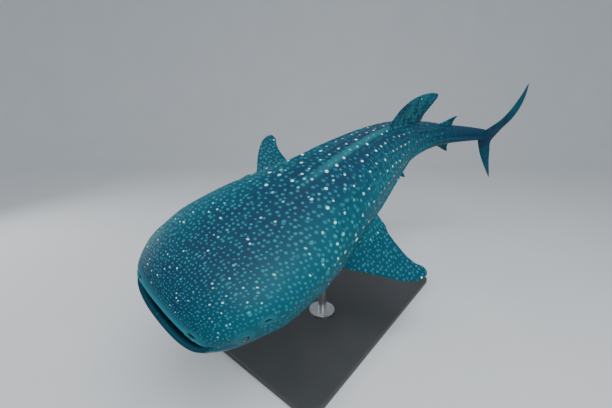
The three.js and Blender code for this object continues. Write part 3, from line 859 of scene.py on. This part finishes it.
def evaluated_mesh(piece):
    """A plain mesh of a piece with its modifiers applied."""
    return bpy.data.meshes.new_from_object(piece.evaluated_get(bpy.context.evaluated_depsgraph_get()))


def shade_smooth(data):
    data.polygons.foreach_set("use_smooth", [True] * len(data.polygons))


def rgb(colour):
    return (*colour, 1.0)


class Weave:
    """A material in the making, with short calls for its nodes."""

    def __init__(self, name):
        self.material = bpy.data.materials.new(name)
        self.material.use_nodes = True
        self.tree = self.material.node_tree
        self.tree.nodes.clear()

    def link(self, value, socket):
        if isinstance(value, bpy.types.NodeSocket):
            self.tree.links.new(value, socket)
        elif value is not None:
            socket.default_value = rgb(value) if socket.type == "RGBA" else value

    def make(self, kind, inputs, **settings):
        """The outputs of a new node with these settings and with values or sockets on its inputs."""
        node = self.tree.nodes.new("ShaderNode" + kind)
        for key, value in settings.items():
            setattr(node, key, value)
        for key, value in inputs.items():
            self.link(value, node.inputs[key])
        return node.outputs

    def finish(self, inputs):
        """The material, with these values or sockets on its shader's inputs."""
        self.make("OutputMaterial", {0: self.make("BsdfPrincipled", inputs)[0]})
        return self.material

    def math(self, operation, a, b=None, c=None, clamp=False):
        inputs = {0: a, 1: b, 2: c}
        return self.make("Math", inputs, operation=operation, use_clamp=clamp)[0]

    def chain(self, operation, first, others):
        for other in others:
            first = self.math(operation, first, other)
        return first

    def times(self, first, *others):
        return self.chain("MULTIPLY", first, others)

    def plus(self, first, *others):
        return self.chain("ADD", first, others)

    def most(self, first, *others):
        return self.chain("MAXIMUM", first, others)

    def rest(self, share):
        return self.math("SUBTRACT", 1.0, share)

    def span(self, share, width, low):
        """Goes from low where share is 0 to low + width where it is 1."""
        return self.math("MULTIPLY_ADD", share, width, low)

    def sway(self, noise, width):
        """Turns a noise into a shift of up to half the width either way."""
        return self.times(self.math("SUBTRACT", noise, 0.5), width)

    def step(self, value, low, high):
        """Rises smoothly from 0 at low to 1 at high; falls where low is above high."""
        inputs = {"Value": value, "From Min": low, "From Max": high}
        return self.make("MapRange", inputs, interpolation_type="SMOOTHSTEP")["Result"]

    def blend(self, amount, first, second):
        return self.make("Mix", {"Factor": amount, "A": first, "B": second}, data_type="RGBA")["Result"]

    def attribute(self, name):
        return self.make("Attribute", {}, attribute_name=name)["Fac"]

    def uv(self, name):
        return self.make("UVMap", {}, uv_map=name)[0]

    def objects(self):
        return self.make("TexCoord", {})["Object"]

    def split(self, vector):
        return self.make("SeparateXYZ", {0: vector}).values()

    def join(self, x, y, z=0.0):
        return self.make("CombineXYZ", {0: x, 1: y, 2: z})[0]

    def noise(self, vector, scale, detail, roughness, distortion=0.0):
        inputs = {"Vector": vector, "Scale": scale, "Detail": detail, "Roughness": roughness}
        return self.make("TexNoise", {**inputs, "Distortion": distortion})[0]

    def cells(self, vector, randomness):
        """Distance to the nearest cell's middle, and a random colour for each cell."""
        inputs = {"Vector": vector, "Scale": 1.0, "Randomness": randomness}
        made = self.make("TexVoronoi", inputs, voronoi_dimensions="2D")
        return made["Distance"], made["Color"]

    def relief(self, height, strength, distance, below=None):
        inputs = {"Height": height, "Strength": strength, "Distance": distance, "Normal": below}
        return self.make("Bump", inputs)[0]


class SkinReads:
    """What the skin's paint reads: places in metres and in spot cells, the masks and a cloudy noise."""

    def __init__(self, w):
        self.cells = w.uv("Pattern")
        self.metric = w.uv("Metric")
        self.here = w.objects()
        self.along, self.across, _ = w.split(self.metric)
        self.away = w.math("ABSOLUTE", self.across)
        for key in (*MASKS, "calm"):
            setattr(self, key, w.attribute(key))
        self.patch = w.noise(self.here, 9.0, 3, 0.6)
        self.row_wobble = w.noise(self.metric, 1.7, 2, 0.5)


def ground_paint(w, skin, look):
    """The ground colour: darkest down the back, greener down the flanks, clouded throughout."""
    cloud = w.noise(skin.here, 2.6, 4, 0.55)
    flank = w.step(w.plus(skin.away, w.sway(cloud, 0.3)), 0.12, 0.62)
    ground = w.blend(flank, look.back, look.flank)
    ground = w.blend(w.times(w.step(skin.patch, 0.35, 0.75), 0.35), ground, look.cloud)

    # The pale line down the middle of the back
    reach = w.times(w.step(skin.along, 1.25, 1.9), w.step(skin.along, 3.6, 2.9))
    line = w.times(w.step(skin.away, 0.07, 0.012), reach, 0.55, w.rest(skin.fin))
    ground = w.blend(line, ground, look.ridge)

    # The fins on the back are clouded, and the paired fins, further round the body, are darker
    clouds = w.times(w.step(skin.patch, 0.42, 0.6), skin.fin, w.step(skin.away, 0.7, 0.5), 0.45)
    ground = w.blend(clouds, ground, look.ridge)
    paired = w.times(skin.fin, w.step(skin.away, 0.8, 1.0), 0.5)
    return w.blend(paired, ground, look.back)


def close_spots(w, skin):
    """Strength of the close spots, one to a cell, each with its own size and brightness."""
    x, y, _ = w.split(skin.cells)
    wobble = w.noise(skin.cells, 0.9, 2, 0.5)
    distance, tint = w.cells(w.join(w.plus(x, w.sway(wobble, 0.5)), y), 0.62)
    red, green, blue = w.split(tint)
    radius = w.span(red, 0.09, 0.2)
    spot = w.step(distance, w.times(radius, 1.35), w.times(radius, 0.55))
    bright_few = w.times(w.step(green, w.span(skin.fin, 0.08, 0.88), 1.0), 0.5)
    bright = w.plus(w.span(blue, 0.16, 0.24), bright_few)
    near_head = w.most(w.step(skin.along, 2.1, 1.1), w.times(skin.fin, 0.9))
    return w.times(spot, bright, w.span(near_head, 0.45, 0.55))


def row_spots(w, skin):
    """Strength of the large spots in rows across the back, and the room they leave for others."""
    x = w.plus(w.times(skin.along, 1 / ROW_STEP), w.sway(skin.row_wobble, 0.7))
    distance, tint = w.cells(w.join(x, w.times(skin.across, 1 / ROW_SPACING)), 0.42)
    red, green, _ = w.split(tint)
    radius = w.span(red, 0.045, 0.083)
    spot = w.step(distance, w.times(radius, 1.2), w.times(radius, 0.75))
    reach = w.times(w.step(skin.along, 0.75, 1.35), w.step(skin.along, 4.7, 3.1))
    spot = w.times(spot, w.span(green, 0.5, 0.5), reach, w.rest(skin.fin))
    room = w.most(w.step(distance, 0.12, 0.2), skin.fin, w.step(skin.along, 1.3, 0.75))
    return spot, room


def faint_bars(w, skin):
    """Strength of the faint pale bars between the rows on the rear flanks."""
    place = w.plus(skin.along, w.times(skin.row_wobble, 0.12))
    wave = w.math("SINE", w.times(place, 2 * math.pi / ROW_STEP))
    reach = w.times(w.step(skin.along, 1.7, 2.4), w.step(skin.away, 0.1, 0.3))
    return w.times(w.step(wave, 0.86, 0.99), reach, 0.2, w.rest(skin.fin))


def spotted(w, skin):
    """1 where spots may be, less on the far tail, and 0 on the lip, by the eye and on the belly."""
    off_lip = w.step(w.math("ABSOLUTE", skin.lip), 0.6, 0.3)
    long = w.times(w.math("SUBTRACT", skin.along, EYE_S * BODY - 0.05), 6.2)
    high = w.times(w.math("SUBTRACT", skin.away, 0.66), 8.0)
    off_eye = w.step(w.plus(w.times(long, long), w.times(high, high)), 0.6, 1.3)
    off_tail = w.span(w.step(skin.along, 5.6, 4.3), 0.85, 0.15)
    off_pits = w.rest(w.most(skin.inside, skin.calm))
    return w.times(off_lip, off_eye, off_tail, off_pits, w.step(skin.pale, 0.55, 0.1))


def skin_material(look):
    w = Weave("whale_shark_skin")
    skin = SkinReads(w)
    rows, room = row_spots(w, skin)
    marks = w.most(w.times(close_spots(w, skin), room), rows, faint_bars(w, skin))
    marks = w.times(marks, spotted(w, skin))
    belly_cloud = w.times(w.step(skin.patch, 0.4, 0.8), 0.3)
    paint = ground_paint(w, skin, look)
    for amount, colour in (
        (
            w.math("MULTIPLY", marks, 1.5, clamp=True),
            w.blend(w.step(marks, 0.42, 0.95), look.dim_spot, look.bright_spot),
        ),
        (w.math("MULTIPLY", skin.lip, 0.85, clamp=True), look.lip),
        # Painted shade: the lower lip's band is darkened towards the back's colour, widening the dark of the
        # mouth
        (w.math("MULTIPLY", skin.lip, -0.8, clamp=True), look.back),
        (w.times(skin.calm, 0.45), look.ridge),
        (w.times(w.step(skin.along, 4.3, 5.4), 0.6), look.back),
        (skin.pale, w.blend(belly_cloud, look.belly, look.ridge)),
        # Painted shade: near black in the gill slits, the eye sockets and the pits
        (w.times(skin.slit, 0.85), look.slit),
        # Painted shade: the mouth's lining goes near black from the lip inwards
        (skin.inside, look.mouth),
    ):
        paint = w.blend(amount, paint, colour)

    # Satin, a little glossier on the spots, and matt in the mouth
    gloss = w.math("SUBTRACT", w.span(skin.patch, 0.16, 0.5), w.times(marks, 0.04))
    grain = w.noise(skin.here, 420.0, 2, 0.6)
    folds = w.noise(skin.here, 24.0, 5, 0.62, 0.4)
    return w.finish({
        "Base Color": paint,
        "Roughness": w.plus(gloss, w.times(skin.inside, 0.3)),
        "Specular IOR Level": w.span(skin.inside, -0.14, 0.18),
        "Normal": w.relief(grain, 0.2, 0.0012, w.relief(folds, 0.22, 0.004)),
    })


def eye_material(look):
    w = Weave("shark_eye")
    gaze = w.attribute("gaze")
    here = w.objects()
    fibre = w.noise(here, 260.0, 4, 0.7)
    iris = w.blend(fibre, look.iris_dark, look.iris_light)
    white = w.blend(w.noise(here, 90.0, 3, 0.6), look.sclera_dark, look.sclera_light)
    ball = w.blend(w.step(gaze, 0.62, 0.68), white, iris)
    return w.finish({
        "Base Color": w.blend(w.step(gaze, 0.88, 0.9), ball, look.pupil),
        "Roughness": w.span(fibre, 0.05, 0.06),
        "Specular IOR Level": 0.3,
        "Coat Weight": 0.35,
        "Coat Roughness": 0.03,
        "Normal": w.relief(fibre, 0.1, 0.0004),
    })


def base_material(look):
    w = Weave("stand_base_paint")
    here = w.objects()
    cloud = w.noise(here, 3.2, 5, 0.6)
    scuff = w.noise(here, 38.0, 6, 0.7, 1.4)
    paint = w.blend(cloud, look.base_dark, look.base_light)
    return w.finish({
        "Base Color": w.blend(w.times(w.step(scuff, 0.62, 0.72), 0.16), paint, look.base_scuff),
        "Roughness": w.span(cloud, 0.18, 0.42),
        "Normal": w.relief(w.noise(here, 520.0, 2, 0.5), 0.25, 0.0006),
    })


def steel_material(look):
    w = Weave("brushed_stand_steel")
    here = w.objects()
    x, y, z = w.split(here)
    brushed = w.join(w.times(x, 60.0), w.times(y, 60.0), w.times(z, 1600.0))
    line = w.noise(brushed, 1.0, 4, 0.65)
    return w.finish({
        "Base Color": w.blend(w.noise(here, 5.0, 4, 0.55), look.steel_dark, look.steel_light),
        "Metallic": 1.0,
        "Roughness": w.span(line, 0.16, 0.26),
        "Normal": w.relief(line, 0.12, 0.0005),
    })


def floor_material(look):
    w = Weave("pale_floor")
    tone = w.noise(w.objects(), 0.7, 3, 0.5)
    return w.finish({"Base Color": w.blend(tone, look.floor_dark, look.floor_light), "Roughness": 0.85})


def colour_prop(name, description, value):
    return FloatVectorProperty(
        name=name, description=description, subtype="COLOR", size=3, min=0, max=1, default=value
    )


def number_prop(name, description, value, unit="NONE"):
    return FloatProperty(name=name, description=description, unit=unit, default=value)


class SHARK_PG_skin(bpy.types.PropertyGroup):
    """Colours of the skin."""

    back: colour_prop("Back", "Darkest skin, down the middle of the back", (0.003, 0.03, 0.068))
    flank: colour_prop("Flanks", "Skin of the flanks and the head's sides", (0.005, 0.092, 0.13))
    cloud: colour_prop("Clouding", "Lighter clouds in the skin", (0.006, 0.075, 0.115))
    ridge: colour_prop("Ridge", "Line down the back and other lighter places", (0.02, 0.19, 0.22))
    lip: colour_prop("Lip", "Clear band along the upper lip", (0.02, 0.21, 0.27))
    dim_spot: colour_prop("Dim spots", "The dimmer spots", (0.028, 0.29, 0.34))
    bright_spot: colour_prop("Bright spots", "The brightest spots", (0.6, 0.85, 0.72))
    belly: colour_prop("Belly", "Underside of the body", (0.55, 0.66, 0.64))
    # Painted shade: the colour put where the gill slits, the eye sockets and the pits lie in shade
    slit: colour_prop("Gill slits", "Inside the gill slits", (0.002, 0.012, 0.018))
    # Painted shade: the colour that stands for the shade deep in the mouth
    mouth: colour_prop("Mouth", "Lining of the mouth", (0.004, 0.022, 0.04))


class SHARK_PG_eyes(bpy.types.PropertyGroup):
    """Size and colours of the eyes."""

    radius: number_prop("Radius", "Radius of an eyeball", EYE_RADIUS - EYE_GAP, "LENGTH")
    iris_dark: colour_prop("Iris, dark", "Dark fibres of the iris", (0.012, 0.02, 0.022))
    iris_light: colour_prop("Iris, light", "Light fibres of the iris", (0.09, 0.13, 0.125))
    pupil: colour_prop("Pupil", "The round pupil", (0.002, 0.002, 0.003))
    sclera_dark: colour_prop("White, dark", "Dark clouds of the eye's white", (0.006, 0.02, 0.028))
    sclera_light: colour_prop("White, light", "Light clouds of the eye's white", (0.03, 0.07, 0.08))


class SHARK_PG_stand(bpy.types.PropertyGroup):
    """Sizes and colours of the stand."""

    bolts: IntProperty(name="Bolts", description="Bolts round each foot", default=6, min=3)
    bolt_radius: number_prop("Bolt radius", "Half of a bolt's width", 0.011, "LENGTH")
    base_dark: colour_prop("Base, dark", "Dark clouds of the base's paint", (0.028, 0.03, 0.033))
    base_light: colour_prop("Base, light", "Light clouds of the base's paint", (0.045, 0.048, 0.052))
    base_scuff: colour_prop("Base, scuffs", "Light scuffs on the paint", (0.14, 0.145, 0.15))
    steel_dark: colour_prop("Steel, dark", "Dark tone of the steel", (0.42, 0.43, 0.44))
    steel_light: colour_prop("Steel, light", "Light tone of the steel", (0.6, 0.61, 0.62))


class SHARK_PG_stage(bpy.types.PropertyGroup):
    """Floor, light and view."""

    lens: number_prop("Lens", "Focal length of the camera", CAMERA_LENS)
    key_power: number_prop("Main light", "Power of the large light", 560, "POWER")
    fill_power: number_prop("Fill light", "Power of the side light", 160, "POWER")
    floor_dark: colour_prop("Floor, dark", "Dark tone of the floor", (0.6, 0.62, 0.64))
    floor_light: colour_prop("Floor, light", "Light tone of the floor", (0.66, 0.68, 0.7))
    world: colour_prop("Surroundings", "Colour of the even light all round", (0.62, 0.66, 0.7))


def looks():
    return bpy.context.scene.shark_looks


class SHARK_PG_looks(bpy.types.PropertyGroup):
    """All the settings of the model."""

    skin: PointerProperty(type=SHARK_PG_skin)
    eyes: PointerProperty(type=SHARK_PG_eyes)
    stand: PointerProperty(type=SHARK_PG_stand)
    stage: PointerProperty(type=SHARK_PG_stage)


class SHARK_OT_skin(bpy.types.Operator):
    """Make the whole skin, from the lips to the tail fin, as one piece"""

    bl_idname = "shark.skin"
    bl_label = "Skin"

    def execute(self, context):
        body = new_object("shark_skin", shark_mesh())
        for data in fin_meshes():
            fin = new_object(data.name, data)
            join = body.modifiers.new("join", "BOOLEAN")
            join.operation = "UNION"
            join.solver = "MANIFOLD"
            join.object = fin
            context.view_layer.update()
            whole = evaluated_mesh(body)
            body.modifiers.remove(join)
            body.data = whole
            bpy.data.objects.remove(fin)
        if len(body.data.polygons) < LEAST_FACES:
            raise RuntimeError("The skin has hardly any faces.")
        body.data.materials.clear()
        body.data.materials.append(skin_material(looks().skin))
        shade_smooth(body.data)
        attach(body, "root")
        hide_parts(*FLESH)
        return {"FINISHED"}


class SHARK_OT_eyes(bpy.types.Operator):
    """Make both eyeballs"""

    bl_idname = "shark.eyes"
    bl_label = "Eyes"

    def execute(self, context):
        look = looks().eyes
        paint = eye_material(look)
        for name, side in (("eyeball_left", 1), ("eyeball_right", -1)):
            centre, gaze, _ = feature_place(EYE_S, EYE_ANGLE, side, -EYE_SUNK)
            tool = bmesh.new()
            bmesh.ops.create_uvsphere(tool, u_segments=48, v_segments=32, radius=look.radius)
            turned = gaze.to_track_quat("Z", "Y").to_matrix().to_4x4()
            bmesh.ops.transform(tool, matrix=Matrix.Translation(centre) @ turned, verts=tool.verts)
            data = bpy.data.meshes.new(name)
            tool.to_mesh(data)
            tool.free()
            facing = data.attributes.new("gaze", "FLOAT", "POINT")
            facing.data.foreach_set("value", [(v.co - centre).normalized().dot(gaze) for v in data.vertices])
            shade_smooth(data)
            eyeball = new_object(name, data, paint)
            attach(eyeball, "root")
            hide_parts("eye_left" if side > 0 else "eye_right")
        return {"FINISHED"}


class SHARK_OT_stand(bpy.types.Operator):
    """Finish the base, the rods and the feet, and add the bolts"""

    bl_idname = "shark.stand"
    bl_label = "Stand"

    def execute(self, context):
        look = looks().stand
        steel = steel_material(look)
        finish_node("stand_base", base_material(look))
        for end in ("front", "rear"):
            finish_node(f"stand_foot_{end}", steel)
            finish_node(f"stand_rod_{end}", steel)
            low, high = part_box(f"stand_foot_{end}")
            bolts = bolt_circle(f"stand_bolts_{end}", low, high, look, steel)
            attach(bolts, "root")
        return {"FINISHED"}


def finish_node(name, material):
    """Gives a material to a node that keeps its solid."""
    for material_slot in frame["nodes"][name].material_slots:
        material_slot.link = "OBJECT"
        material_slot.material = material


def bolt_tree(steel):
    """Geometry nodes for a ring of six-sided bolts on a foot, and the keys of their inputs."""
    tree = bpy.data.node_groups.new("bolt_circle", "GeometryNodeTree")
    keys = []
    for name, kind in BOLT_INPUTS:
        socket = tree.interface.new_socket(name=name, in_out="INPUT", socket_type=kind)
        keys.append(socket.identifier)
    tree.interface.new_socket(name="Geometry", in_out="OUTPUT", socket_type="NodeSocketGeometry")
    entry, leave, circle, shank, place, move, real, finish = (tree.nodes.new(kind) for kind in BOLT_NODES)
    shank.inputs["Vertices"].default_value = BOLT_SIDES
    finish.inputs["Material"].default_value = steel
    for source, target in (
        (entry.outputs["Count"], circle.inputs["Vertices"]),
        (entry.outputs["Ring radius"], circle.inputs["Radius"]),
        (entry.outputs["Bolt radius"], shank.inputs["Radius"]),
        (entry.outputs["Bolt height"], shank.inputs["Depth"]),
        (circle.outputs[0], place.inputs["Points"]),
        (shank.outputs["Mesh"], place.inputs["Instance"]),
        (place.outputs[0], move.inputs["Geometry"]),
        (entry.outputs["Place"], move.inputs["Translation"]),
        (move.outputs[0], real.inputs[0]),
        (real.outputs[0], finish.inputs["Geometry"]),
        (finish.outputs[0], leave.inputs[0]),
    ):
        tree.links.new(source, target)
    return tree, keys


def bolt_circle(name, low, high, look, steel):
    """The bolts of the foot that has this box, as a plain mesh."""
    tree, keys = bolt_tree(steel)
    piece = new_object(name, bpy.data.meshes.new(name))
    maker = piece.modifiers.new("bolts", "NODES")
    maker.node_group = tree
    radius = look.bolt_radius
    height = radius * BOLT_HEIGHT
    ring_radius = (high[0] - low[0]) / 2 - radius * BOLT_INSET
    place = ((low[0] + high[0]) / 2, (low[1] + high[1]) / 2, high[2] + height / 2 + BOLT_GAP)
    for key, value in zip(keys, (look.bolts, ring_radius, radius, height, place)):
        maker[key] = value
    bpy.context.view_layer.update()
    made = evaluated_mesh(piece)
    piece.modifiers.remove(maker)
    piece.data = made
    return piece


class SHARK_OT_stage(bpy.types.Operator):
    """Make the floor, the light and the camera"""

    bl_idname = "shark.stage"
    bl_label = "Stage"

    def execute(self, context):
        look = looks().stage
        floor = new_object("floor", sweep_mesh(), floor_material(look))
        shade_smooth(floor.data)
        area_light("key_light", look.key_power, **KEY_LIGHT)
        area_light("fill_light", look.fill_power, **FILL_LIGHT)
        world = bpy.data.worlds.new("studio")
        world.use_nodes = True
        sky = world.node_tree.nodes["Background"]
        sky.inputs["Color"].default_value = rgb(look.world)
        sky.inputs["Strength"].default_value = WORLD_STRENGTH
        context.scene.world = world
        camera = new_object("camera", bpy.data.cameras.new("camera"))
        camera.data.sensor_width = CAMERA_SENSOR
        camera.data.lens = look.lens
        camera.location = CAMERA_PLACE
        camera.rotation_euler = (math.pi / 2 - CAMERA_DOWN, 0, CAMERA_TURN)
        context.scene.camera = camera
        return {"FINISHED"}


def sweep_mesh():
    """A floor that curves up into a backdrop behind the model, seen from the camera."""
    away = Vector((-math.sin(CAMERA_TURN), math.cos(CAMERA_TURN), 0))
    side = Vector((away.y, -away.x, 0))
    profile = [(FLOOR_FRONT, 0.0), (SWEEP_START, 0.0)]
    for i in range(1, SWEEP_STEPS + 1):
        angle = math.pi / 2 * i / SWEEP_STEPS
        profile.append((SWEEP_START + SWEEP_RADIUS * math.sin(angle), SWEEP_RADIUS * (1 - math.cos(angle))))
    profile.append((SWEEP_START + SWEEP_RADIUS, SWEEP_RADIUS + BACKDROP_RISE))
    points = []
    for reach, high in profile:
        for edge in (-SWEEP_HALF, SWEEP_HALF):
            points.append(away * reach + side * edge + Vector((0, 0, high)))
    faces = [(2 * i, 2 * i + 1, 2 * i + 3, 2 * i + 2) for i in range(len(profile) - 1)]
    data = bpy.data.meshes.new("floor")
    data.from_pydata(points, [], faces)
    return data


def area_light(name, power, place, aim, size):
    light = new_object(name, bpy.data.lights.new(name, "AREA"))
    light.data.size = size
    light.data.energy = power
    light.location = place
    light.rotation_euler = (Vector(aim) - Vector(place)).to_track_quat("-Z", "Y").to_euler()


class SHARK_PT_panel(bpy.types.Panel):
    """The shark's pieces and settings in the sidebar"""

    bl_label = "Whale Shark"
    bl_idname = "SHARK_PT_panel"
    bl_space_type = "VIEW_3D"
    bl_region_type = "UI"
    bl_category = "Shark"

    def draw(self, context):
        for step in STEPS:
            self.layout.operator(step.bl_idname, text=step.bl_label)
        for group in ("skin", "eyes", "stand", "stage"):
            box = self.layout.box()
            box.label(text=group.capitalize())
            settings = getattr(looks(), group)
            for key in settings.__annotations__:
                box.prop(settings, key)


STEPS = (SHARK_OT_skin, SHARK_OT_eyes, SHARK_OT_stand, SHARK_OT_stage)
GROUPS = (SHARK_PG_skin, SHARK_PG_eyes, SHARK_PG_stand, SHARK_PG_stage, SHARK_PG_looks)
CLASSES = (*GROUPS, *STEPS, SHARK_PT_panel)


def register():
    for item in CLASSES:
        bpy.utils.register_class(item)
    bpy.types.Scene.shark_looks = PointerProperty(type=SHARK_PG_looks)


def unregister():
    del bpy.types.Scene.shark_looks
    for item in reversed(CLASSES):
        bpy.utils.unregister_class(item)


def main():
    register()
    bpy.ops.shark.skin()
    bpy.ops.shark.eyes()
    bpy.ops.shark.stand()
    bpy.ops.shark.stage()


if __name__ == "__main__":
    main()
